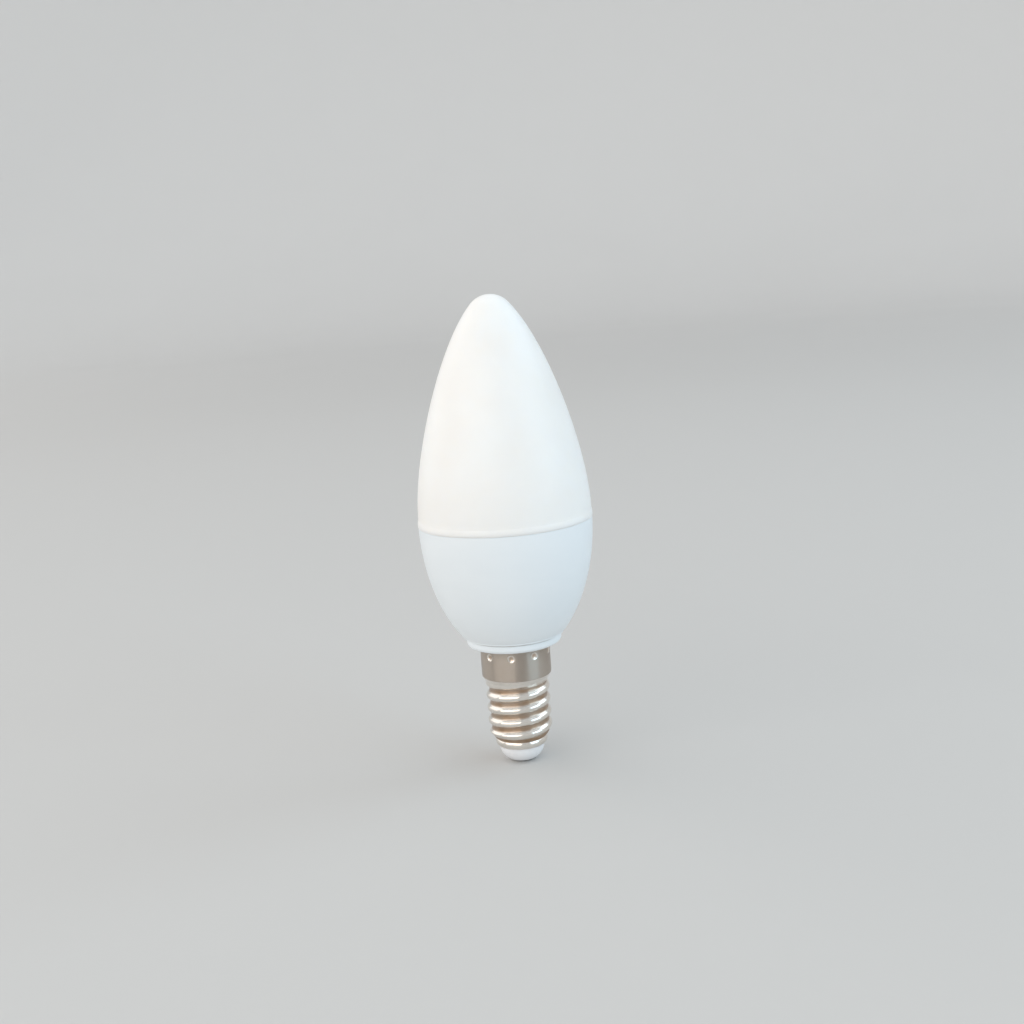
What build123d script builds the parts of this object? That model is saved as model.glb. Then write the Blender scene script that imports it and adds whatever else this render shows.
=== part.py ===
from build123d import *

import math
import os

# Candle-shaped lamp with a small screw cap. Millimetres, Z along the lamp's axis with the tip up,
# the centre contact's face at z = 0. The lamp is sealed, so the diffuser and the housing are solid.

# Heights that stack up along the axis, from the contact to the tip
contact_proud = 0.3  # how far the contact's head stands out of the insulator
insulator_height = 3.5  # the insulator's rounded end, below the shell
shell_height = 22.7  # the metal shell, from its rim to the collar
collar_height = 2.1
housing_height = 24.7  # from the collar to the seam
diffuser_height = 47.3  # from the seam to the tip

# Diffuser
lamp_diameter = 37.0  # over the lip at the seam
lip_height = 1.5
lip_proud = 0.12
side_rise = 12.06  # curve handle: how far the side keeps upright above the lip
side_close = 11.32  # curve handle: how far the side runs straight on towards the tip
tip_radius = 5.2
tip_join = 42.0  # degrees above level where the side turns into the round tip
spigot_height = 2.0  # the diffuser's plug in the housing's mouth
mouth_wall = 1.5  # the housing's wall around that plug

# Housing
seam_step = 0.15  # the housing's edge lies this far inside the diffuser's lip
seam_edge = 0.08
collar_diameter = 20.3
collar_edge = 0.9
housing_overhang = 0.6  # the housing's lower edge stands this far out over the collar
housing_edge = 0.6
groove_width = 0.3
groove_depth = 0.15
neck_gap = 0.35  # from the neck's end to the skirt's lower end
neck_chamfer = 0.5

# Cap shell, drawn and rolled from sheet
sheet = 0.3
skirt_step = 0.6  # the skirt stands this far out beyond the thread's crests
skirt_height = 6.9
shoulder_height = 2.05
shoulder_edge = 0.6
thread_diameter = 13.8
thread_pitch = 2.822
thread_depth = 0.8
root_land = 0.05  # the core above the thread's deepest point, and the ridge's foot above the core
taper_slope = 0.8  # radius lost for each millimetre down, below the thread
rim_inset = 0.5  # the rim's widest place lies this far inside the thread's core
rim_height = 1.6
rim_waist = 0.2  # the shell is drawn in this far above the rim
rim_curl = 0.5  # the rim turns in this far under the insulator
crimp_count = 9
crimp_drop = 1.75  # from the collar to the crimps
crimp_start = 22.5  # degrees from +X to the first crimp
punch_radius = 1.15
punch_depth = 0.32

# Insulator and centre contact
insulator_plug = 4.0  # how far the insulator reaches up inside the shell
insulator_bulge = 0.75  # how far its end is rounded out from a straight cone
foot_wall = 0.47  # the insulator's wall around the contact's seat
contact_diameter = 3.6
contact_seat = 0.3  # how deep the contact's head sits in the insulator
contact_chamfer = 0.15
shank_diameter = 1.6
shank_reach = 0.8  # the shank's end above the plug

# Fits
neck_clearance = 0.05
spigot_clearance = 0.1
insulator_clearance = 0.03
contact_clearance = 0.03

# Thread form: equal arcs at crest and root, the crest drawn as chords of its arc
thread_arc = (thread_pitch / 4) ** 2 / thread_depth + thread_depth / 4
crest_flat_angle = math.radians(18)
flank_angle = math.radians(50)

# Places and radii that follow from the sizes above
foot_z = contact_proud
seat_z = foot_z + contact_seat
rim_z = foot_z + insulator_height
waist_z = rim_z + rim_height
plug_z = rim_z + insulator_plug
collar_z = rim_z + shell_height
crimp_z = collar_z - crimp_drop
skirt_z = collar_z - skirt_height
shoulder_z = skirt_z - shoulder_height
neck_z = skirt_z + neck_gap
groove_z = collar_z + collar_height
seam_z = groove_z + housing_height
tip_z = seam_z + diffuser_height

lip_radius = lamp_diameter / 2
housing_radius = lip_radius - seam_step
mouth_radius = housing_radius - mouth_wall
collar_radius = collar_diameter / 2
thread_radius = thread_diameter / 2
skirt_radius = thread_radius + skirt_step
neck_radius = skirt_radius - sheet - neck_clearance
core_radius = thread_radius - thread_depth + root_land
rim_radius = core_radius - rim_inset
waist_radius = rim_radius - rim_waist
taper_z = waist_z + (core_radius - waist_radius) / taper_slope
punch_centre = skirt_radius + punch_radius - punch_depth


def block(radius, low, high):
    """Half section of a plain disc from the axis out to a radius."""
    return Pos(radius / 2, (low + high) / 2) * Rectangle(radius, high - low)


def turned(section):
    """Solid of revolution about the lamp's axis."""
    return revolve(Plane.XZ * section, Axis.Z)


def corner(section, radius, height):
    """The corner of a half section that lies nearest to a place."""
    return section.vertices().sort_by_distance((radius, height))[0]


def punches(radius):
    """Balls of one radius at the places where the skirt is crimped to the neck."""
    places = Pos(0, 0, crimp_z) * PolarLocations(punch_centre, crimp_count, crimp_start)
    return Part() + places * Sphere(radius)


def diffuser():
    """Opal dome: a lip, one smooth side, a round tip and the plug that seats in the housing."""
    side_radius = lip_radius - lip_proud
    tip_turn = math.radians(tip_join)
    join_radius = tip_radius * math.cos(tip_turn)
    join_z = tip_z - tip_radius + tip_radius * math.sin(tip_turn)
    low = (side_radius, seam_z)
    start = (side_radius, seam_z + lip_height)
    join = (join_radius, join_z)
    upright = (side_radius, seam_z + lip_height + side_rise)
    closing = (join_radius + side_close * math.sin(tip_turn), join_z - side_close * math.cos(tip_turn))
    lip = ThreePointArc(low, (lip_radius, seam_z + lip_height / 2), start)
    side = Bezier(start, upright, closing, join)
    tip = TangentArc(join, (0, tip_z), tangent=side % 1)
    dome = make_face([lip, side, tip, Polyline((0, tip_z), (0, seam_z), low)])
    spigot = block(mouth_radius - spigot_clearance, seam_z - spigot_height, seam_z)
    return turned(dome + spigot)


def housing():
    """Moulded body: an elliptical side down to a collar, and a neck that the cap is crimped to."""
    lower_radius = collar_radius + housing_overhang
    half_height = housing_height / math.sqrt(1 - (lower_radius / housing_radius) ** 2)
    body = Pos(0, seam_z) * Ellipse(housing_radius, half_height)
    body = body & block(housing_radius, groove_z, seam_z)
    body = fillet(corner(body, housing_radius, seam_z), seam_edge)
    body = fillet(corner(body, lower_radius, groove_z), housing_edge)
    collar = block(collar_radius, collar_z, groove_z)
    collar = fillet(corner(collar, collar_radius, collar_z), collar_edge)
    groove = block(collar_radius, groove_z - groove_width, groove_z)
    groove = groove - block(collar_radius - groove_depth, groove_z - groove_width, groove_z)
    neck = block(neck_radius, neck_z, collar_z)
    neck = chamfer(corner(neck, neck_radius, neck_z), neck_chamfer)
    mouth = block(mouth_radius, seam_z - spigot_height - spigot_clearance, seam_z)
    pits = punches(punch_radius + sheet + neck_clearance)
    return turned(body + collar + neck - groove - mouth) - pits


def shell_walls(inset):
    """The shell's straight walls in half section, from its waist up and back down the axis to its rim."""
    return Polyline(
        (waist_radius - inset, waist_z),
        (core_radius - inset, taper_z),
        (core_radius - inset, shoulder_z),
        (skirt_radius - inset, skirt_z),
        (skirt_radius - inset, collar_z),
        (0, collar_z),
        (0, rim_z),
        (rim_radius - rim_curl - inset, rim_z),
    )


def shell_outside():
    """Half section of the shell's outside without its thread, with a round rim and shoulder."""
    walls = shell_walls(0)
    rim = ThreePointArc(walls @ 1, (rim_radius, (rim_z + waist_z) / 2), walls @ 0)
    section = make_face([rim, walls])
    return fillet(corner(section, skirt_radius, skirt_z), shoulder_edge)


def shell_inside(inset):
    """Half section of the room inside the shell, or of what fills it when set in further."""
    walls = shell_walls(inset)
    rim = Polyline(walls @ 1, (rim_radius - inset, (rim_z + waist_z) / 2), walls @ 0)
    return make_face([rim, walls])


def thread_ridge():
    """Right-hand ridge of the rolled thread, from inside the rim's taper up into the shoulder."""
    flank_radius = thread_radius - thread_arc + thread_arc * math.cos(flank_angle)
    foot_half = thread_pitch / 2 - math.sqrt(thread_arc**2 - (thread_arc - 2 * root_land) ** 2)
    upper = [
        (thread_radius, thread_arc * math.sin(crest_flat_angle)),
        (flank_radius, thread_arc * math.sin(flank_angle)),
        (core_radius + root_land, foot_half),
        (core_radius - sheet / 2, foot_half),
    ]
    lower = [(radius, -height) for radius, height in reversed(upper)]
    section = make_face(Polyline(*upper, *lower, close=True))
    start_z = rim_z + thread_pitch / 2
    path = Helix(pitch=thread_pitch, height=skirt_z - start_z, radius=thread_radius)
    return Pos(0, 0, start_z) * sweep(Plane.XZ * section, path=path, is_frenet=True)


def threaded_core():
    """The shell's core with its thread, running out against a taper down to the shell's waist."""
    core = turned(block(core_radius, rim_z, collar_z))
    reach = thread_radius + sheet
    reach_z = waist_z + (reach - waist_radius) / taper_slope
    cone = [(0, waist_z), (waist_radius, waist_z), (reach, reach_z), (0, reach_z)]
    limit = turned(make_face(Polyline(*cone, close=True)) + block(reach, reach_z, collar_z))
    return (core + thread_ridge()) & limit


def cap_shell():
    """Thin shell: skirt with crimps, shoulder, rolled thread and a rim curled in under the insulator."""
    outside = turned(shell_outside()) + threaded_core()
    bumps = punches(punch_radius + sheet) & turned(block(skirt_radius, skirt_z, collar_z))
    return outside - turned(shell_inside(sheet)) + bumps - punches(punch_radius)


def cap_insulator():
    """Plug that fills the shell's lower end and bulges out of it, with a seat for the contact."""
    plug = shell_inside(sheet + insulator_clearance) & block(skirt_radius, rim_z, plug_z)
    seat_radius = contact_diameter / 2 + contact_clearance
    rim = (rim_radius - rim_curl - sheet - insulator_clearance, rim_z)
    foot = (seat_radius + foot_wall, foot_z)
    end = make_face([SagittaArc(rim, foot, insulator_bulge), Polyline(foot, (0, foot_z), (0, rim_z), rim)])
    bore = block(shank_diameter / 2 + contact_clearance, foot_z, plug_z)
    seat = block(seat_radius, foot_z, seat_z)
    return turned(plug + end - bore - seat)


def centre_contact():
    """Rivet with a flat head, its shank through the insulator."""
    head = block(contact_diameter / 2, 0, seat_z)
    head = chamfer(corner(head, contact_diameter / 2, 0), contact_chamfer)
    shank = block(shank_diameter / 2, seat_z, plug_z + shank_reach)
    return turned(head + shank)


os.makedirs("parts", exist_ok=True)
for piece in (diffuser, housing, cap_shell, cap_insulator, centre_contact):
    export_step(piece(), f"parts/{piece.__name__}.step")
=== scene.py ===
import math

import bpy
from bpy.props import FloatProperty, FloatVectorProperty, IntProperty, PointerProperty
from mathutils import Matrix, Vector


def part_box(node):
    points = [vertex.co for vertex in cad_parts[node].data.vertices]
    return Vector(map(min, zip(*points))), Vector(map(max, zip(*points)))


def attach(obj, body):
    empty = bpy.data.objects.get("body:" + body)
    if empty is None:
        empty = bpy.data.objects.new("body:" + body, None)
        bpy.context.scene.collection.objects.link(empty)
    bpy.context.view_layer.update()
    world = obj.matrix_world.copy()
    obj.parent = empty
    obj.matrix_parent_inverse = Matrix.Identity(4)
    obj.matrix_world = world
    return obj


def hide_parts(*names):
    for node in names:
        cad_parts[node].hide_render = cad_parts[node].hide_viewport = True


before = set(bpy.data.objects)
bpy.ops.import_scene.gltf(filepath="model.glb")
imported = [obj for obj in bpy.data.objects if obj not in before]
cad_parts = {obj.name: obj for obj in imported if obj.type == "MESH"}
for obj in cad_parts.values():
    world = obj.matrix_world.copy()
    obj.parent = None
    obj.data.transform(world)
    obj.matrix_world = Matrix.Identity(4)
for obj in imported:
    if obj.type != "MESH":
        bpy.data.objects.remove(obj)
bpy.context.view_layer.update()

bl_info = {
    "name": "Candle Bulb",
    "version": (1, 0, 0),
    "blender": (4, 5, 0),
    "location": "3D View > Sidebar > Candle Bulb",
    "description": "Models the visible pieces of a candle bulb over its solid model",
    "category": "Add Mesh",
}

MM = 0.001
WELD = 1e-6  # points nearer to each other than this are one point
NEAR = 10 * WELD  # a vertex this near to a wall belongs to it
FULL_TURN = 2 * math.pi
UP, LEVEL, DOWN, BACK = math.pi / 2, 0, -math.pi / 2, -math.pi  # angles of arcs in a half section

SEAM_FIT = 0.05 * MM  # the housing is drawn this much wider at the seam, which keeps it faint
SKIRT_MARGIN = 1.0 * MM  # the thread's close rings of faces go on this far up the skirt
LIP_CREST = 0.4  # height of the lip's widest place, as a share of the lip's height
DISH_WIDTH = 0.55  # radius of the dish in the contact's face, as a share of the contact's radius

# Faces along each curve of the half sections, and round the studio's sweep
STEPS = {
    "tip": 14,
    "side": 44,
    "lip": 12,
    "seam_edge": 6,
    "body": 48,
    "lower_edge": 10,
    "groove_lip": 5,
    "collar": 14,
    "neck": 36,
    "rim": 22,
    "skirt": 44,
    "bulge": 26,
    "foot": 6,
    "dish": 10,
    "head": 8,
    "floor": 6,
    "sweep": 20,
}
SWEEP_SEGMENTS = 96

# Edges sharper than these angles stay sharp in shading
SMOOTH_ANGLE = math.radians(40)
THREAD_SMOOTH_ANGLE = math.radians(50)
SWEEP_SMOOTH_ANGLE = math.radians(60)

# Studio lamps: name, place, width and height, watts, tint
LAMPS = (
    ("key", (-0.84, -0.97, 0.66), (2.0, 0.85), 9.0, (1.0, 0.955, 0.90)),
    ("side", (-1.19, 0.57, 0.70), (1.5, 1.2), 4.1, (1.0, 0.965, 0.92)),
    ("fill", (1.05, -0.65, 0.50), (0.9, 0.75), 4.4, (0.58, 0.83, 1.0)),
    ("rim", (1.22, 0.30, 0.95), (1.0, 0.75), 3.8, (0.70, 0.88, 1.0)),
    ("crown", (0.0, 0.15, 1.6), (1.2, 1.2), 1.5, (1.0, 0.99, 0.97)),
)
LAMP_AIM = (0, 0, 0.05)  # place on the bulb's axis that they are aimed at

SENSOR_WIDTH = 36  # millimetres
CLIP_RANGE = (0.01, 20)  # metres from the camera


def top(node):
    """Height of a solid's highest point."""
    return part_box(node)[1].z


def foot(node):
    """Height of a solid's lowest point."""
    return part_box(node)[0].z


def reach(node):
    """Largest radius of a solid, from its box on the four sides."""
    low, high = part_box(node)
    return max(high.x, high.y, -low.x, -low.y)


def place(name, description, metres):
    """Property for a height or radius, in metres."""
    return FloatProperty(
        name=name, description=description, default=metres, precision=5, unit="LENGTH",
    )


def length(name, description, millimetres):
    """Property for a length, given in millimetres and kept in metres."""
    return place(name, description, millimetres * MM)


def angular(name, description, degrees):
    """Property for an angle, given in degrees and kept in radians."""
    return FloatProperty(
        name=name, description=description, default=math.radians(degrees), subtype="ANGLE",
    )


def count(name, description, number, least):
    """Property for a whole number."""
    return IntProperty(name=name, description=description, default=number, min=least)


def colour(name, description, value):
    """Property for a linear colour."""
    return FloatVectorProperty(
        name=name, description=description, default=value,
        size=3, min=0, max=1, subtype="COLOR",
    )


class DiffuserSizes(bpy.types.PropertyGroup):
    """Sizes of the opal dome."""

    tip_z: place("Tip", "Height of the dome's tip", top("diffuser"))
    seam_z: place("Seam", "Height of the seam between the dome and the housing", top("housing"))
    spigot_z: place("Spigot end", "Lower end of the dome's plug in the housing", foot("diffuser"))
    lip_radius: place("Lip radius", "Widest radius, over the lip at the seam", reach("diffuser"))
    lip_height: length("Lip height", "Height of the rounded lip above the seam", 1.5)
    lip_proud: length("Lip proud", "How far the lip stands out of the dome's side", 0.12)
    lip_tuck: length("Lip tuck", "How far the lip draws in again at the seam", 0.02)
    lip_crease: length("Lip crease", "Depth of the soft crease above the lip", 0.05)
    side_rise: length("Side rise", "Curve handle that keeps the side upright above the lip", 12.06)
    side_close: length("Side close", "Curve handle that runs the side on towards the tip", 11.32)
    tip_radius: length("Tip radius", "Radius of the round tip", 5.2)
    tip_join: angular("Tip join", "Angle above level where the side turns into the tip", 42)
    spigot_inset: length("Spigot inset", "Radius from the lip in to the dome's plug", 1.75)
    segments: count("Segments", "Faces round the dome", 192, 24)


class HousingSizes(bpy.types.PropertyGroup):
    """Sizes of the moulded housing with its collar and neck."""

    seam_z: place("Seam", "Height of the seam between the dome and the housing", top("housing"))
    collar_z: place("Collar foot", "Height where the collar meets the cap", top("cap_shell"))
    neck_z: place("Neck end", "Lower end of the neck inside the cap", foot("housing"))
    seam_radius: place("Seam radius", "Radius at the seam", reach("housing") + SEAM_FIT)
    seam_edge: length("Seam edge", "Rounding of the edge at the seam", 0.04)
    mouth_wall: length("Mouth wall", "Wall round the dome's plug", 1.5)
    mouth_depth: length("Mouth depth", "Depth of the mouth that takes the dome's plug", 2.1)
    collar_height: length("Collar height", "Height of the collar ring", 2.1)
    collar_radius: length("Collar radius", "Radius of the collar ring", 10.15)
    collar_edge: length("Collar edge", "Rounding of the collar's lower edge", 0.9)
    overhang: length("Overhang", "How far the housing's lower edge stands out over the collar", 0.6)
    lower_edge: length("Lower edge", "Rounding of the housing's lower edge", 0.6)
    groove_width: length("Groove width", "Height of the groove above the collar", 0.3)
    groove_depth: length("Groove depth", "Depth of the groove above the collar", 0.15)
    groove_lip: length("Groove lip", "Rounding of the collar's upper edge", 0.12)
    neck_radius: length("Neck radius", "Radius of the neck inside the cap", 7.15)
    neck_chamfer: length("Neck chamfer", "Chamfer at the neck's end", 0.5)
    segments: count("Segments", "Faces round the housing", 240, 24)


class CapSizes(bpy.types.PropertyGroup):
    """Sizes of the drawn and rolled screw cap."""

    rim_z: place("Rim", "Height of the cap's lower rim", foot("cap_shell"))
    collar_z: place("Skirt top", "Height where the skirt meets the collar", top("cap_shell"))
    skirt_radius: place("Skirt radius", "Outer radius of the plain skirt", reach("cap_shell"))
    sheet: length("Sheet", "Thickness of the sheet metal", 0.3)
    skirt_height: length("Skirt height", "Height of the plain skirt", 6.9)
    shoulder_height: length("Shoulder height", "Height of the slope between skirt and thread", 2.05)
    thread_radius: length("Thread radius", "Radius over the thread's crests", 6.9)
    thread_depth: length("Thread depth", "Depth of the thread from crest to root", 0.8)
    thread_pitch: length("Thread pitch", "Rise of the thread in one turn", 2.822)
    core_radius: length("Core radius", "Radius of the core between shoulder and taper", 6.15)
    waist_radius: length("Waist radius", "Radius where the shell is drawn in above the rim", 5.45)
    rim_radius: length("Rim radius", "Widest radius of the round rim", 5.65)
    rim_height: length("Rim height", "Height of the round rim", 1.6)
    rim_curl: length("Rim curl", "How far the rim turns in under the insulator", 0.5)
    taper_slope: FloatProperty(
        name="Taper slope", description="Radius lost per length below the thread", default=0.8,
    )
    softness: length("Softness", "How softly rolled surfaces run into each other", 0.09)
    crimp_count: count("Crimps", "Number of punched crimps round the skirt", 9, 1)
    crimp_drop: length("Crimp drop", "Distance of the crimps below the collar", 1.75)
    crimp_start: angular("Crimp start", "Angle of the first crimp from +X", 22.5)
    punch_radius: length("Punch radius", "Radius of the round punch", 1.15)
    punch_depth: length("Punch depth", "Depth of a punched crimp", 0.32)
    punch_rim: length("Punch rim", "Rounding of a crimp's rim", 0.05)
    ring_step: length("Ring step", "Distance between rings of faces on the thread", 0.13)
    segments: count("Segments", "Faces round the cap", 240, 24)


class EndSizes(bpy.types.PropertyGroup):
    """Sizes of the insulator and the centre contact."""

    foot_z: place("Insulator foot", "Height of the insulator's lowest point", foot("cap_insulator"))
    plug_z: place("Plug top", "Upper end of the insulator inside the cap", top("cap_insulator"))
    shank_z: place("Shank end", "Upper end of the contact's shank", top("centre_contact"))
    clearance: length("Clearance", "Gap between the insulator and the sheet metal", 0.03)
    bulge: length("Bulge", "How far the insulator's end is rounded out from a cone", 0.75)
    foot_wall: length("Foot wall", "Wall of the insulator round the contact's seat", 0.47)
    foot_edge: length("Foot edge", "Rounding of the wall round the seat", 0.18)
    seat_depth: length("Seat depth", "Depth of the contact's seat", 0.3)
    contact_radius: length("Contact radius", "Radius of the contact's head", 1.8)
    contact_edge: length("Contact edge", "Rounding of the contact's head", 0.15)
    contact_dish: length("Contact dish", "Depth of the dish in the contact's face", 0.06)
    shank_radius: length("Shank radius", "Radius of the contact's shank", 0.8)
    segments: count("Segments", "Faces round the insulator and contact", 128, 24)


class LampColours(bpy.types.PropertyGroup):
    """Colours of the lamp's finishes and of the studio."""

    opal: colour("Opal", "White of the light-spreading dome", (0.93, 0.925, 0.91))
    opal_deep: colour("Opal deep", "Warmer white of the dome in clouds", (0.905, 0.89, 0.865))
    housing: colour("Housing", "Cool white of the moulded housing", (0.84, 0.885, 0.915))
    housing_deep: colour("Housing deep", "Shade of the faint flow marks", (0.818, 0.867, 0.90))
    # A darker colour laid in the groove above the collar.
    groove_tone: colour("Dust", "Dust that settles in the groove above the collar", (0.66, 0.64, 0.61))
    plating: colour("Plating", "Nickel plating of the cap", (0.50, 0.44, 0.385))
    # Painted highlight: this brighter colour lies on the cap below the skirt, outside the thread's
    # roots, and in the crimps.
    crest: colour("Crest", "Plating rubbed bright on crests and rim", (0.86, 0.82, 0.765))
    # Painted shade and reflection: this darker brown fills the thread's roots and the crimps'
    # middles, and also lies in faint random patches all over the cap.
    tarnish_and_painted_shade: colour("Tarnish", "Darker plating in the thread's roots", (0.42, 0.27, 0.165))
    insulator: colour("Insulator", "White of the insulator", (0.87, 0.875, 0.895))
    insulator_deep: colour("Insulator deep", "Shade in its fine speckle", (0.82, 0.825, 0.85))
    contact: colour("Contact", "Metal of the centre contact", (0.66, 0.64, 0.60))
    contact_worn: colour("Contact worn", "Worn patches on the centre contact", (0.46, 0.42, 0.37))
    floor: colour("Floor", "Pale floor of the studio", (0.60, 0.588, 0.572))
    backdrop: colour("Backdrop", "Paler backdrop, less lit by the lamps", (0.80, 0.79, 0.775))
    sky: colour("Sky", "Soft light from all round the studio", (0.95, 0.975, 1.0))


class StageSizes(bpy.types.PropertyGroup):
    """Sizes of the studio sweep, the strength of its sky and the camera's place."""

    floor_radius: place("Floor radius", "Radius of the flat floor", 1.5)
    sweep_radius: place("Sweep radius", "Radius of the sweep up to the wall", 0.8)
    wall_height: place("Wall height", "Height of the backdrop", 1.15)
    sky_strength: FloatProperty(
        name="Sky strength", description="Strength of the light from all round", default=0.68,
    )
    camera_place: FloatVectorProperty(
        name="Camera place", description="Where the camera stands",
        default=(1.54 * MM, -290.827 * MM, 110.003 * MM),
        subtype="TRANSLATION", unit="LENGTH", precision=5,
    )
    camera_pitch: angular("Camera pitch", "How far the camera looks down", 10.75)
    camera_roll: angular("Camera roll", "How far the camera is turned about its view", 4.28)
    camera_lens: FloatProperty(
        name="Camera lens", description="Focal length in millimetres", default=49.22,
    )


class LampSettings(bpy.types.PropertyGroup):
    """All sizes and colours of the lamp and its studio."""

    diffuser: PointerProperty(type=DiffuserSizes)
    housing: PointerProperty(type=HousingSizes)
    cap: PointerProperty(type=CapSizes)
    end: PointerProperty(type=EndSizes)
    colours: PointerProperty(type=LampColours)
    stage: PointerProperty(type=StageSizes)


# Half sections: lists of (radius, height) points in metres

def run(first, last, steps):
    """Points from first to last along a straight line, without the first."""
    across, along = last[0] - first[0], last[1] - first[1]
    return [
        (first[0] + across * i / steps, first[1] + along * i / steps)
        for i in range(1, steps + 1)
    ]


def arc(centre, radius, start, end, steps):
    """Points on an arc from one angle to another, both ends included."""
    angles = [start + (end - start) * i / steps for i in range(steps + 1)]
    return [(centre[0] + radius * math.cos(a), centre[1] + radius * math.sin(a)) for a in angles]


def curve(a, b, c, d, steps):
    """Points on a cubic curve with two handles, both ends included."""
    points = []
    for i in range(steps + 1):
        t = i / steps
        weights = ((1 - t) ** 3, 3 * t * (1 - t) ** 2, 3 * t * t * (1 - t), t**3)
        pairs = list(zip(weights, (a, b, c, d)))
        points.append(tuple(sum(w * p[k] for w, p in pairs) for k in (0, 1)))
    return points


def bearing(centre, point):
    """Angle at which a point lies from a centre."""
    return math.atan2(point[1] - centre.y, point[0] - centre.x)


def bow(first, last, sagitta, steps):
    """Points on an arc that bulges out from its chord by the sagitta, both ends included."""
    chord = Vector(last) - Vector(first)
    radius = chord.length_squared / (8 * sagitta) + sagitta / 2
    outward = Vector((chord.y, -chord.x)).normalized()
    if outward.x < 0:
        outward.negate()
    centre = (Vector(first) + Vector(last)) / 2 - outward * (radius - sagitta)
    return arc(centre, radius, bearing(centre, first), bearing(centre, last), steps)


def arc_through(first, middle, last, steps):
    """Points on the arc through three points, both ends included."""
    a, b, c = (Vector((*p, 0)) for p in (first, middle, last))
    ab, ac = b - a, c - a
    normal = ab.cross(ac)
    pull = normal.cross(ab) * ac.length_squared + ac.cross(normal) * ab.length_squared
    to_centre = pull / (2 * normal.length_squared)
    centre = a + to_centre
    radius = to_centre.length
    return arc(centre, radius, bearing(centre, first), bearing(centre, last), steps)


# Modelling steps

def clear_selection():
    """Leaves edit mode and deselects everything."""
    if bpy.context.mode != "OBJECT":
        bpy.ops.object.mode_set(mode="OBJECT")
    bpy.ops.object.select_all(action="DESELECT")


def turned(name, profile, segments, smooth_angle):
    """Draws a half section by extruding a point along it, spins it round the axis and welds it."""
    clear_selection()
    radius, height = profile[0]
    bpy.ops.mesh.primitive_plane_add(size=MM, location=(radius, 0, height))
    piece = bpy.context.object
    piece.name = name
    piece.data.name = name
    bpy.ops.object.transform_apply(location=True, rotation=True, scale=True)
    bpy.ops.object.mode_set(mode="EDIT")
    bpy.ops.mesh.select_all(action="SELECT")
    bpy.ops.mesh.merge(type="CENTER")
    for (r0, z0), (r1, z1) in zip(profile, profile[1:]):
        step = (r1 - r0, 0, z1 - z0)
        bpy.ops.mesh.extrude_vertices_move(TRANSFORM_OT_translate={"value": step})
    bpy.ops.mesh.select_all(action="SELECT")
    bpy.ops.mesh.spin(steps=segments, angle=FULL_TURN, center=(0, 0, 0), axis=(0, 0, 1))
    bpy.ops.mesh.select_all(action="SELECT")
    bpy.ops.mesh.remove_doubles(threshold=WELD)
    bpy.ops.mesh.normals_make_consistent(inside=False)
    bpy.ops.object.mode_set(mode="OBJECT")
    if len(piece.data.polygons) < segments:
        raise RuntimeError(f"{name} was not spun")
    bpy.ops.object.shade_smooth_by_angle(angle=smooth_angle)
    return piece


def pressed(piece, shape):
    """Moves each vertex to the radius that a rule gives for its radius, angle and height."""
    for vertex in piece.data.vertices:
        x, y, z = vertex.co
        radius = math.hypot(x, y)
        if radius > WELD:
            scale = shape(radius, math.atan2(y, x), z) / radius
            vertex.co = (x * scale, y * scale, z)
    piece.data.update()


def dress(piece, material, node):
    """Gives a piece its material, makes it stand for its solid and rides it on the lamp."""
    piece.data.materials.clear()
    piece.data.materials.append(material)
    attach(piece, "root")
    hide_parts(node)


def soft_larger(a, b, k):
    """The larger of two lengths, with a soft change from one to the other."""
    return (a + b + math.sqrt((a - b) ** 2 + k * k)) / 2


def soft_smaller(a, b, k):
    """The smaller of two lengths, with a soft change from one to the other."""
    return (a + b - math.sqrt((a - b) ** 2 + k * k)) / 2


def crimp_depth(cap, angle, height):
    """How deep the round punches dent the skirt at a place on it."""
    pitch = FULL_TURN / cap.crimp_count
    turn = (angle - cap.crimp_start + pitch / 2) % pitch - pitch / 2
    across = cap.skirt_radius * turn
    along = height - (cap.collar_z - cap.crimp_drop)
    spare = max(cap.punch_radius**2 - across**2 - along**2, 0)
    sunk = math.sqrt(spare) - (cap.punch_radius - cap.punch_depth)
    unpunched = soft_larger(cap.punch_depth - cap.punch_radius, 0, cap.punch_rim)
    return max(soft_larger(sunk, 0, cap.punch_rim) - unpunched, 0)


def thread_radius_at(cap, angle, height):
    """Radius of the round thread, right-hand, with equal arcs at crest and root."""
    pitch = cap.thread_pitch
    arc_radius = (pitch / 4) ** 2 / cap.thread_depth + cap.thread_depth / 4
    offset = (height - cap.rim_z - pitch * angle / FULL_TURN) % pitch - pitch / 2
    if abs(offset) < pitch / 4:
        return cap.thread_radius - arc_radius + math.sqrt(arc_radius**2 - offset**2)
    rest = pitch / 2 - abs(offset)
    return cap.thread_radius - cap.thread_depth + arc_radius - math.sqrt(arc_radius**2 - rest**2)


def waist_height(cap):
    """Height where the cap is drawn in above its rim."""
    return cap.rim_z + cap.rim_height


def lower_walls(cap, inset):
    """The cap's walls from the thread's core down to the rim, set in from the outside."""
    waist_z = waist_height(cap)
    taper_z = waist_z + (cap.core_radius - cap.waist_radius) / cap.taper_slope
    return [
        (cap.core_radius - inset, taper_z),
        (cap.waist_radius - inset, waist_z),
        (cap.rim_radius - inset, cap.rim_z + cap.rim_height / 2),
        (cap.rim_radius - cap.rim_curl - inset, cap.rim_z),
    ]


# Materials

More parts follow.
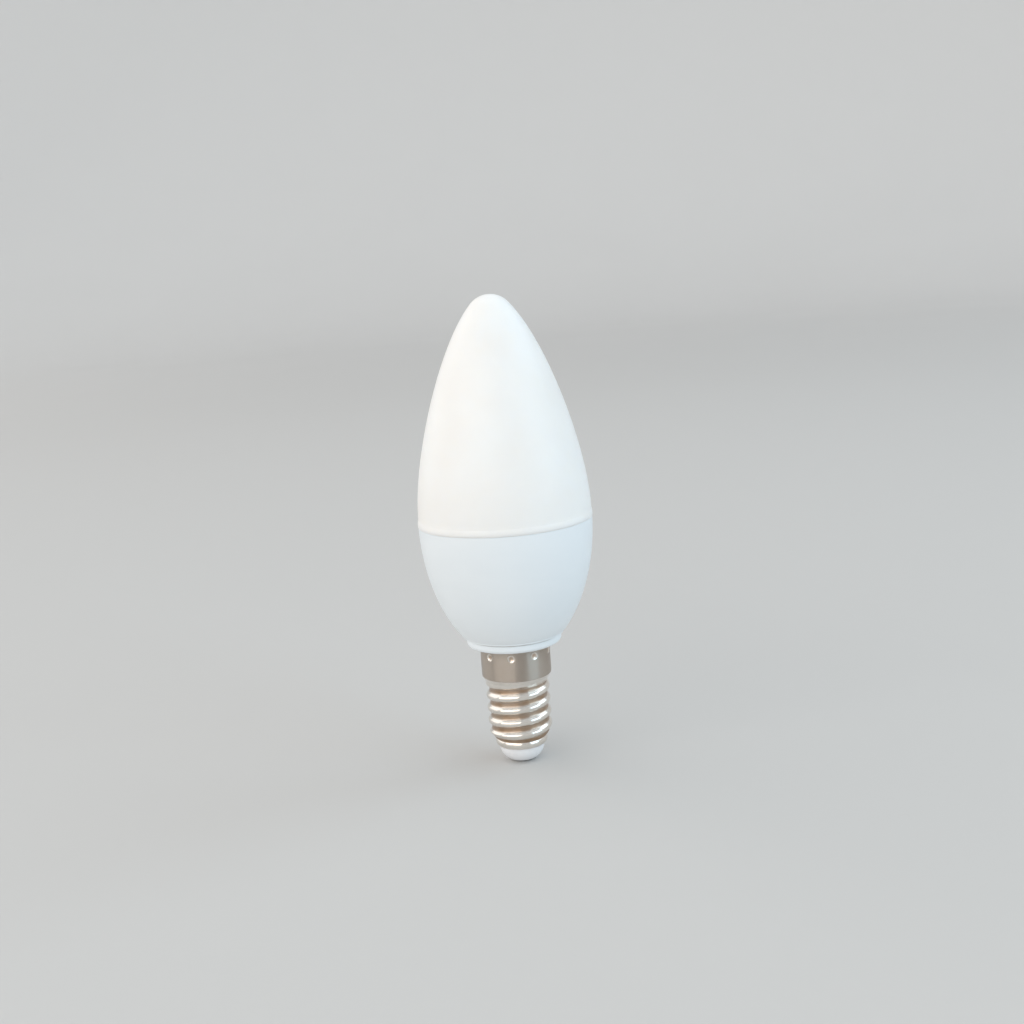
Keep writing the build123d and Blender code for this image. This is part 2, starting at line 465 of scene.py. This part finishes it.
class Flow:
    """A shader socket that takes part in Python arithmetic through Math nodes."""

    def __init__(self, tree, socket):
        self.tree = tree
        self.socket = socket

    def maths(self, operation, first, second):
        """Result of a Math node on two values, either of which may be a plain number."""
        node = self.tree.nodes.new("ShaderNodeMath")
        node.operation = operation
        for slot, value in zip(node.inputs, (first, second)):
            feed(self.tree, slot, value)
        return Flow(self.tree, node.outputs[0])

    def __add__(self, other):
        return self.maths("ADD", self, other)

    def __radd__(self, other):
        return self.maths("ADD", other, self)

    def __sub__(self, other):
        return self.maths("SUBTRACT", self, other)

    def __rsub__(self, other):
        return self.maths("SUBTRACT", other, self)

    def __mul__(self, other):
        return self.maths("MULTIPLY", self, other)

    def __pow__(self, other):
        return self.maths("POWER", self, other)

    def __gt__(self, other):
        return self.maths("GREATER_THAN", self, other)

    def __lt__(self, other):
        return self.maths("LESS_THAN", self, other)


def feed(tree, slot, value):
    """Links a socket or sets its value, with a full alpha for a colour."""
    if isinstance(value, Flow):
        tree.links.new(value.socket, slot)
    elif slot.type == "RGBA":
        slot.default_value = (*value, 1)
    else:
        slot.default_value = value


class Finish:
    """A material built from nodes on object coordinates."""

    def __init__(self, name):
        self.material = bpy.data.materials.new(name)
        self.material.use_nodes = True
        self.tree = self.material.node_tree
        self.tree.nodes.clear()
        self.shader = self.tree.nodes.new("ShaderNodeBsdfPrincipled")
        output = self.tree.nodes.new("ShaderNodeOutputMaterial")
        self.tree.links.new(self.shader.outputs["BSDF"], output.inputs["Surface"])
        self.place = self.node("ShaderNodeTexCoord", out="Object")

    def node(self, kind, settings=None, out=0, **sockets):
        """Adds a node of a kind, with its settings set first and then its sockets."""
        made = self.tree.nodes.new(kind)
        for key, value in (settings or {}).items():
            if key == "stops":
                ramp = made.color_ramp
                while len(ramp.elements) < len(value):
                    ramp.elements.new(0.5)
                for element, (position, shade) in zip(ramp.elements, value):
                    element.position = position
                    element.color = (shade, shade, shade, 1)
            else:
                setattr(made, key, value)
        for key, value in sockets.items():
            enabled = [slot for slot in made.inputs if slot.enabled]
            slots = [slot for slot in enabled if slot.identifier == key]
            slots = slots or [slot for slot in enabled if slot.name.replace(" ", "_") == key]
            feed(self.tree, slots[0], value)
        return Flow(self.tree, made.outputs[out])

    def polar(self):
        """The distance from the axis and the height of a place on the piece."""
        split = self.node("ShaderNodeSeparateXYZ", Vector=self.place).socket.node
        x, y, z = (Flow(self.tree, socket) for socket in split.outputs)
        return (x * x + y * y) ** 0.5, z

    def noise(self, scale, detail=2.0, roughness=0.5, stretch=None, distortion=0.0):
        """Noise from 0 to 1 at so many features per metre, or stretched along the axes."""
        where = self.place
        if stretch:
            where = self.node("ShaderNodeMapping", Vector=self.place, Scale=stretch)
        return self.node(
            "ShaderNodeTexNoise", Vector=where,
            Scale=scale, Detail=detail, Roughness=roughness, Distortion=distortion,
        )

    def ramp(self, value, *stops):
        """A value sent through a ramp of (position, level) stops."""
        return self.node("ShaderNodeValToRGB", {"stops": stops}, Fac=value)

    def fade(self, value, start, end):
        """A soft change from 0 to 1 while a value goes from start to end."""
        return self.node(
            "ShaderNodeMapRange", {"interpolation_type": "SMOOTHSTEP"},
            Value=value, From_Min=start, From_Max=end, To_Min=0.0, To_Max=1.0,
        )

    def blend(self, factor, first, second):
        """Mix of two colours."""
        return self.node(
            "ShaderNodeMix", {"data_type": "RGBA"}, out=2,
            Factor_Float=factor, A_Color=first, B_Color=second,
        )

    def bump(self, height, distance):
        """Normal that follows a height from 0 to 1 of so many metres."""
        return self.node("ShaderNodeBump", Height=height, Distance=distance, Strength=1.0)

    def finish(self, **sockets):
        """Sets the surface's sockets and returns the material."""
        for key, value in sockets.items():
            feed(self.tree, self.shader.inputs[key.replace("_", " ")], value)
        return self.material


def opal_plastic(colours):
    """Opal white moulding that light wanders through, with faint clouds and a satin grain."""
    skin = Finish("opal_plastic")
    cloud = skin.ramp(skin.noise(70, detail=3), (0.35, 0), (0.7, 1))
    touched = skin.noise(160, detail=4, roughness=0.6, distortion=0.4)
    handled = skin.ramp(touched, (0.5, 0), (0.72, 1))
    grain = skin.noise(5200)
    return skin.finish(
        Base_Color=skin.blend(cloud, colours.opal, colours.opal_deep),
        Roughness=0.34 + handled * 0.1 + grain * 0.06,
        Normal=skin.bump(grain, 0.008 * MM),
        Subsurface_Weight=0.8,
        Subsurface_Radius=(1.0, 0.96, 0.9),
        Subsurface_Scale=1.0 * MM,
        IOR=1.49,
        Specular_IOR_Level=0.4,
    )


def housing_plastic(colours, sizes):
    """Cool white moulding with faint flow marks, a fine skin and a darker, patchy colour in the
    groove.
    """
    skin = Finish("housing_plastic")
    streaks = skin.noise(40, detail=3, stretch=(1.0, 1.0, 3.5), distortion=0.5)
    flow = skin.ramp(streaks, (0.38, 0), (0.68, 1))
    touched = skin.noise(150, detail=4, roughness=0.6, distortion=0.3)
    handled = skin.ramp(touched, (0.48, 0), (0.7, 1))
    grain = skin.noise(4200)
    radius, z = skin.polar()
    groove_z = sizes.collar_z + sizes.collar_height
    groove_top = groove_z + 0.01 * MM
    groove_low = groove_z - sizes.groove_width - 0.1 * MM
    below_skin = sizes.collar_radius - 0.03 * MM
    # The groove above the collar gets a darker, patchy colour.
    inside = (radius < below_skin) * (z > groove_low) * (z < groove_top)
    patchy = skin.ramp(skin.noise(600, detail=3), (0.25, 0.45), (0.7, 1))
    moulded = skin.blend(flow, colours.housing, colours.housing_deep)
    return skin.finish(
        Base_Color=skin.blend(inside * patchy, moulded, colours.groove_tone),
        Roughness=0.3 + handled * 0.12 + grain * 0.05,
        Normal=skin.bump(grain, 0.006 * MM),
        IOR=1.5,
    )


def cap_plating(colours, sizes):
    """Bright plating on drawn sheet: rings, a few scratches, faint darker patches, painted shade
    and reflection darkening the roots and crimps, and painted highlights on crests and rim.
    """
    skin = Finish("cap_plating")
    radius, z = skin.polar()
    skirt_z = sizes.collar_z - sizes.skirt_height
    thread_top = skirt_z - sizes.shoulder_height * 0.5
    root_radius = sizes.thread_radius - sizes.thread_depth
    root_edge = sizes.thread_radius - sizes.thread_depth * 0.55
    dent_floor = sizes.skirt_radius - sizes.punch_depth
    dent_edge = sizes.skirt_radius - sizes.punch_depth * 0.25
    below_skin = sizes.skirt_radius - 0.04 * MM
    rolled = (z < thread_top) * (z > waist_height(sizes))
    # Painted shade and reflection in the thread's roots.
    root = skin.fade(radius, root_edge, root_radius) * rolled
    skirt = z > skirt_z
    punched = skirt * (radius < below_skin)
    # Painted shade in the crimps' middles.
    dent = skin.fade(radius, dent_edge, dent_floor) * skirt
    # Painted highlight on the cap below the skirt, outside the thread's roots, and in the crimps.
    highlight_painted = (1 - root) * (1 - skirt) + punched
    patch = skin.ramp(skin.noise(420, detail=4, roughness=0.6), (0.35, 0), (0.75, 1))
    rings = skin.noise(1.0, detail=3, roughness=0.7, stretch=(60, 60, 9000))
    lines = skin.noise(1.0, stretch=(2600, 2600, 260), distortion=1.2)
    scratch = skin.ramp(lines, (0.68, 0), (0.72, 1))
    smear = skin.ramp(skin.noise(260, detail=3, distortion=0.6), (0.42, 0), (0.72, 1))
    # Painted shade and reflection in the roots and crimps, plus faint random darker patches all
    # over.
    painted_shade_and_tarnish = root * (0.6 + patch * 0.4) + dent * 0.7 + patch * 0.08
    drawn = 0.15 + (skirt - punched) * 0.21 + rings * 0.06
    worn = root * 0.18 + smear * 0.05 + scratch * 0.08
    bright = skin.blend(highlight_painted, colours.plating, colours.crest)
    return skin.finish(
        Base_Color=skin.blend(painted_shade_and_tarnish, bright, colours.tarnish_and_painted_shade),
        Metallic=1.0,
        Roughness=drawn + worn,
        Anisotropic=0.95,
        Anisotropic_Rotation=0.25,
        Normal=skin.bump(rings * 0.7 + scratch * 0.3, 0.0035 * MM),
    )


def insulator_plastic(colours):
    """Matte white moulding with a fine speckle."""
    skin = Finish("insulator_plastic")
    speckle = skin.ramp(skin.noise(2600, detail=3, roughness=0.7), (0.45, 0), (0.75, 1))
    grain = skin.noise(7000)
    return skin.finish(
        Base_Color=skin.blend(speckle, colours.insulator, colours.insulator_deep),
        Roughness=0.5 + grain * 0.12,
        Normal=skin.bump(grain + speckle * 0.4, 0.01 * MM),
        IOR=1.5,
    )


def contact_plating(colours):
    """Plated rivet head with turning rings, worn where the spring rubs."""
    skin = Finish("contact_plating")
    radius, _ = skin.polar()
    ring_pitch = 0.09 * MM
    phase = radius * (FULL_TURN / ring_pitch)
    rings = skin.node("ShaderNodeMath", {"operation": "SINE"}, Value=phase)
    worn = skin.ramp(skin.noise(1500, detail=4, roughness=0.65), (0.42, 0), (0.62, 1))
    lines = skin.noise(1.0, stretch=(700, 9000, 700), distortion=0.8)
    scratch = skin.ramp(lines, (0.62, 0), (0.68, 1))
    return skin.finish(
        Base_Color=skin.blend(worn * 0.8, colours.contact, colours.contact_worn),
        Metallic=1.0,
        Roughness=0.26 + worn * 0.16 + scratch * 0.1,
        Normal=skin.bump(0.5 + rings * 0.2 + scratch * 0.4, 0.006 * MM),
    )


def studio_paper(colours, sizes):
    """Plain pale paper of the floor and backdrop, with the faintest unevenness."""
    skin = Finish("studio_paper")
    radius, _ = skin.polar()
    shade = skin.ramp(skin.noise(9, detail=3), (0.3, 0), (0.7, 1))
    floor_end = sizes.floor_radius * 0.5
    wall_start = sizes.floor_radius + sizes.sweep_radius
    wall = skin.fade(radius + shade * 0.05, floor_end, wall_start)
    return skin.finish(
        Base_Color=skin.blend(wall, colours.floor, colours.backdrop),
        Roughness=0.75 + shade * 0.05,
        Specular_IOR_Level=0.2,
    )


# Operators

class LAMP_OT_diffuser(bpy.types.Operator):
    """Turn the opal dome with its rounded lip, smooth side and round tip"""

    bl_idname = "lamp.diffuser"
    bl_label = "Opal dome"
    bl_options = {"REGISTER", "UNDO"}

    def execute(self, context):
        settings = context.scene.candle_lamp
        size = settings.diffuser
        side = size.lip_radius - size.lip_proud
        lip_top = size.seam_z + size.lip_height
        tip_centre = (0, size.tip_z - size.tip_radius)
        tip = arc(tip_centre, size.tip_radius, UP, size.tip_join, STEPS["tip"])
        join = tip[-1]
        closing = (
            join[0] + size.side_close * math.sin(size.tip_join),
            join[1] - size.side_close * math.cos(size.tip_join),
        )
        upright = (side, lip_top + size.side_rise)
        crease = (side - size.lip_crease, lip_top)
        flank = curve(join, closing, upright, crease, STEPS["side"])
        lip_crest = (size.lip_radius, size.seam_z + size.lip_height * LIP_CREST)
        lip_end = (size.lip_radius - size.lip_tuck, size.seam_z)
        lip = arc_through(crease, lip_crest, lip_end, STEPS["lip"])
        plug = size.lip_radius - size.spigot_inset
        base = [(plug, size.seam_z), (plug, size.spigot_z), (0, size.spigot_z)]
        profile = [(0, size.tip_z)] + tip[1:] + flank[1:] + lip[1:] + base
        piece = turned("opal_diffuser", profile, size.segments, SMOOTH_ANGLE)
        dress(piece, opal_plastic(settings.colours), "diffuser")
        return {"FINISHED"}


class LAMP_OT_housing(bpy.types.Operator):
    """Turn the housing from its mouth down to the collar, and its crimped neck"""

    bl_idname = "lamp.housing"
    bl_label = "Housing"
    bl_options = {"REGISTER", "UNDO"}

    def execute(self, context):
        settings = context.scene.candle_lamp
        size = settings.housing
        cap = settings.cap
        profile = self.mouth(size) + self.body(size) + self.collar(size) + self.neck(size)
        piece = turned("lamp_housing", profile, size.segments, SMOOTH_ANGLE)

        def crimped(radius, angle, height):
            """Presses the pits behind the crimps into the neck's wall."""
            if abs(radius - size.neck_radius) > NEAR or height > size.collar_z - WELD:
                return radius
            return radius - crimp_depth(cap, angle, height)

        pressed(piece, crimped)
        dress(piece, housing_plastic(settings.colours, size), "housing")
        return {"FINISHED"}

    def mouth(self, size):
        """The seat for the dome's plug, out to the edge at the seam."""
        floor_z = size.seam_z - size.mouth_depth
        radius = size.seam_radius - size.mouth_wall
        edge = size.seam_edge
        bend = (size.seam_radius - edge, size.seam_z - edge)
        rounded = arc(bend, edge, UP, LEVEL, STEPS["seam_edge"])
        return [(0, floor_z), (radius, floor_z), (radius, size.seam_z)] + rounded

    def body(self, size):
        """The elliptical side below the edge at the seam, and the round lower edge."""
        groove_z = size.collar_z + size.collar_height
        lower = size.collar_radius + size.overhang
        half_height = (size.seam_z - groove_z) / math.sqrt(1 - (lower / size.seam_radius) ** 2)
        start = math.asin(size.seam_edge / half_height)
        end = math.asin((size.seam_z - groove_z - size.lower_edge) / half_height)
        steps = STEPS["body"]
        turns = [start + (end - start) * i / steps for i in range(1, steps + 1)]
        side = [
            (size.seam_radius * math.cos(turn), size.seam_z - half_height * math.sin(turn))
            for turn in turns
        ]
        slope = math.atan2(size.seam_radius * math.sin(end), half_height * math.cos(end))
        bend = (
            side[-1][0] - size.lower_edge * math.cos(slope),
            side[-1][1] + size.lower_edge * math.sin(slope),
        )
        rounded = arc(bend, size.lower_edge, -slope, DOWN, STEPS["lower_edge"])
        return side + rounded[1:-1] + [(rounded[-1][0], groove_z)]

    def collar(self, size):
        """The groove and the round collar under it."""
        groove_z = size.collar_z + size.collar_height
        ledge_z = groove_z - size.groove_width
        deep = size.collar_radius - size.groove_depth
        lip, edge = size.groove_lip, size.collar_edge
        upper = (size.collar_radius - lip, ledge_z - lip)
        lower = (size.collar_radius - edge, size.collar_z + edge)
        rounded = arc(upper, lip, UP, LEVEL, STEPS["groove_lip"])
        rounded += arc(lower, edge, LEVEL, DOWN, STEPS["collar"])
        return [(deep, groove_z), (deep, ledge_z)] + rounded

    def neck(self, size):
        """The neck inside the cap, down to its chamfered end."""
        start = (size.neck_radius, size.collar_z)
        wall_end = (size.neck_radius, size.neck_z + size.neck_chamfer)
        end = [(size.neck_radius - size.neck_chamfer, size.neck_z), (0, size.neck_z)]
        return [start] + run(start, wall_end, STEPS["neck"]) + end


class LAMP_OT_cap_shell(bpy.types.Operator):
    """Draw the cap's sheet, roll its thread and punch its crimps"""

    bl_idname = "lamp.cap_shell"
    bl_label = "Screw cap"
    bl_options = {"REGISTER", "UNDO"}

    def execute(self, context):
        settings = context.scene.candle_lamp
        cap = settings.cap
        skirt_z = cap.collar_z - cap.skirt_height
        shoulder_z = skirt_z - cap.shoulder_height
        waist_z = waist_height(cap)
        plain_z = skirt_z + SKIRT_MARGIN
        slope = (cap.skirt_radius - cap.core_radius) / cap.shoulder_height

        def taper(height):
            """Radius of the taper that runs up from the waist."""
            return cap.waist_radius + (height - waist_z) * cap.taper_slope

        def wall(height):
            """Radius of the plain sheet above the waist."""
            shoulder = cap.core_radius + (height - shoulder_z) * slope
            drawn = soft_larger(cap.core_radius, shoulder, cap.softness)
            drawn = soft_smaller(drawn, cap.skirt_radius, cap.softness)
            return min(soft_smaller(taper(height), drawn, cap.softness), cap.skirt_radius)

        def rolled(angle, height):
            """Radius of the sheet above the waist with its thread."""
            thread = thread_radius_at(cap, angle, height)
            ridge = soft_smaller(thread, taper(height), cap.softness)
            return min(soft_larger(wall(height), ridge, cap.softness), cap.skirt_radius)

        waist, bulge, toe = lower_walls(cap, 0)[1:]
        rim = arc_through(toe, bulge, waist, STEPS["rim"])
        outer, inner = cap.skirt_radius, cap.skirt_radius - cap.sheet
        rings = max(1, round((plain_z - waist_z) / cap.ring_step))
        threaded = run((outer, waist_z), (outer, plain_z), rings)
        skirt = run((outer, plain_z), (outer, cap.collar_z), STEPS["skirt"])
        lining = run((inner, cap.collar_z), (inner, plain_z), STEPS["skirt"])
        inside = [(inner, skirt_z), (cap.core_radius - cap.sheet, shoulder_z)]
        inside += lower_walls(cap, cap.sheet) + [toe]
        profile = rim + threaded + skirt + [(inner, cap.collar_z)] + lining + inside
        piece = turned("screw_shell", profile, cap.segments, THREAD_SMOOTH_ANGLE)

        def formed(radius, angle, height):
            """Rolls the thread into the outer wall and punches both walls of the skirt."""
            dent = crimp_depth(cap, angle, height) if height > plain_z else 0
            if abs(radius - outer) < NEAR:
                return rolled(angle, height) - dent
            if abs(radius - inner) < NEAR:
                return radius - dent
            return radius

        pressed(piece, formed)
        dress(piece, cap_plating(settings.colours, cap), "cap_shell")
        return {"FINISHED"}


class LAMP_OT_insulator(bpy.types.Operator):
    """Turn the insulator with its rounded end and the seat for the contact"""

    bl_idname = "lamp.insulator"
    bl_label = "Insulator"
    bl_options = {"REGISTER", "UNDO"}

    def execute(self, context):
        settings = context.scene.candle_lamp
        cap = settings.cap
        size = settings.end
        gap = cap.sheet + size.clearance
        seat = size.contact_radius + size.clearance
        bore = size.shank_radius + size.clearance
        seat_z = size.foot_z + size.seat_depth
        edge = size.foot_edge
        *plug, rim = lower_walls(cap, gap)
        bulge = bow(rim, (seat + size.foot_wall, size.foot_z), size.bulge, STEPS["bulge"])
        rounded = arc((seat + edge, size.foot_z + edge), edge, DOWN, BACK, STEPS["foot"])
        profile = [(bore, size.plug_z), (cap.core_radius - gap, size.plug_z)] + plug
        profile += bulge + rounded + [(seat, seat_z), (bore, seat_z), (bore, size.plug_z)]
        piece = turned("end_insulator", profile, size.segments, SMOOTH_ANGLE)
        dress(piece, insulator_plastic(settings.colours), "cap_insulator")
        return {"FINISHED"}


class LAMP_OT_contact(bpy.types.Operator):
    """Turn the contact's rivet head with its dished face, and its shank"""

    bl_idname = "lamp.contact"
    bl_label = "Centre contact"
    bl_options = {"REGISTER", "UNDO"}

    def execute(self, context):
        settings = context.scene.candle_lamp
        size = settings.end
        seat_z = size.foot_z + size.seat_depth
        edge = size.contact_edge
        dish_radius = size.contact_radius * DISH_WIDTH
        steps = STEPS["dish"]
        dish = [
            (dish_radius * i / steps, size.contact_dish * (1 + math.cos(math.pi * i / steps)) / 2)
            for i in range(steps + 1)
        ]
        rounded = arc((size.contact_radius - edge, edge), edge, DOWN, LEVEL, STEPS["head"])
        profile = dish + rounded + [
            (size.contact_radius, seat_z),
            (size.shank_radius, seat_z),
            (size.shank_radius, size.shank_z),
            (0, size.shank_z),
        ]
        piece = turned("contact_rivet", profile, size.segments, SMOOTH_ANGLE)
        dress(piece, contact_plating(settings.colours), "centre_contact")
        return {"FINISHED"}


class LAMP_OT_stage(bpy.types.Operator):
    """Set up the pale sweep, the soft lamps, the sky and the camera"""

    bl_idname = "lamp.stage"
    bl_label = "Studio"
    bl_options = {"REGISTER", "UNDO"}

    def execute(self, context):
        settings = context.scene.candle_lamp
        size = settings.stage
        scene = context.scene
        bend = (size.floor_radius, size.sweep_radius)
        profile = [(0, 0)] + run((0, 0), (size.floor_radius, 0), STEPS["floor"])
        profile += arc(bend, size.sweep_radius, DOWN, LEVEL, STEPS["sweep"])[1:]
        profile.append((size.floor_radius + size.sweep_radius, size.wall_height))
        sweep = turned("studio_sweep", profile, SWEEP_SEGMENTS, SWEEP_SMOOTH_ANGLE)
        sweep.data.materials.append(studio_paper(settings.colours, size))
        for lamp in LAMPS:
            self.lamp(*lamp)
        world = bpy.data.worlds.new("studio_sky")
        world.use_nodes = True
        sky = world.node_tree.nodes["Background"]
        sky.inputs["Color"].default_value = (*settings.colours.sky, 1)
        sky.inputs["Strength"].default_value = size.sky_strength
        scene.world = world
        scene.view_settings.view_transform = "Standard"
        self.camera(scene, size)
        return {"FINISHED"}

    def lamp(self, name, spot, spread, power, tint):
        """Adds a wide soft lamp that is aimed at the bulb."""
        clear_selection()
        bpy.ops.object.light_add(type="AREA", location=spot)
        lamp = bpy.context.object
        lamp.name = f"{name}_lamp"
        lamp.data.shape = "RECTANGLE"
        lamp.data.size, lamp.data.size_y = spread
        lamp.data.energy = power
        lamp.data.color = tint
        aim = Vector(LAMP_AIM) - Vector(spot)
        lamp.rotation_euler = aim.to_track_quat("-Z", "Y").to_euler()
        lamp.visible_camera = False

    def camera(self, scene, size):
        """Stands the camera where the photograph was taken from."""
        clear_selection()
        bpy.ops.object.camera_add()
        camera = bpy.context.object
        camera.name = "lamp_camera"
        camera.data.lens = size.camera_lens
        camera.data.sensor_width = SENSOR_WIDTH
        camera.data.clip_start, camera.data.clip_end = CLIP_RANGE
        pitch, roll = size.camera_pitch, size.camera_roll
        ahead = Vector((0, math.cos(pitch), -math.sin(pitch)))
        level_up = Vector((0, math.sin(pitch), math.cos(pitch)))
        level_right = Vector((1, 0, 0))
        right = math.cos(roll) * level_right - math.sin(roll) * level_up
        up = math.sin(roll) * level_right + math.cos(roll) * level_up
        turn = Matrix((right, up, -ahead)).transposed()
        camera.matrix_world = Matrix.Translation(size.camera_place) @ turn.to_4x4()
        scene.camera = camera


class LAMP_PT_panel(bpy.types.Panel):
    """Sizes, colours and building steps of the candle bulb"""

    bl_label = "Candle Bulb"
    bl_idname = "LAMP_PT_panel"
    bl_space_type = "VIEW_3D"
    bl_region_type = "UI"
    bl_category = "Candle Bulb"

    def draw(self, context):
        settings = context.scene.candle_lamp
        for operator in BUILDERS:
            self.layout.operator(operator.bl_idname)
        for group in LampSettings.__annotations__:
            box = self.layout.box()
            box.label(text=group.capitalize())
            holder = getattr(settings, group)
            for key in holder.__annotations__:
                box.prop(holder, key)


BUILDERS = (
    LAMP_OT_diffuser,
    LAMP_OT_housing,
    LAMP_OT_cap_shell,
    LAMP_OT_insulator,
    LAMP_OT_contact,
    LAMP_OT_stage,
)

CLASSES = (
    DiffuserSizes,
    HousingSizes,
    CapSizes,
    EndSizes,
    LampColours,
    StageSizes,
    LampSettings,
    *BUILDERS,
    LAMP_PT_panel,
)


def register():
    """Adds the classes and the scene's settings."""
    for item in CLASSES:
        bpy.utils.register_class(item)
    bpy.types.Scene.candle_lamp = PointerProperty(type=LampSettings)


def unregister():
    """Removes the scene's settings and the classes."""
    del bpy.types.Scene.candle_lamp
    for item in reversed(CLASSES):
        bpy.utils.unregister_class(item)


def main():
    register()
    bpy.ops.lamp.diffuser()
    bpy.ops.lamp.housing()
    bpy.ops.lamp.cap_shell()
    bpy.ops.lamp.insulator()
    bpy.ops.lamp.contact()
    bpy.ops.lamp.stage()


if __name__ == "__main__":
    main()
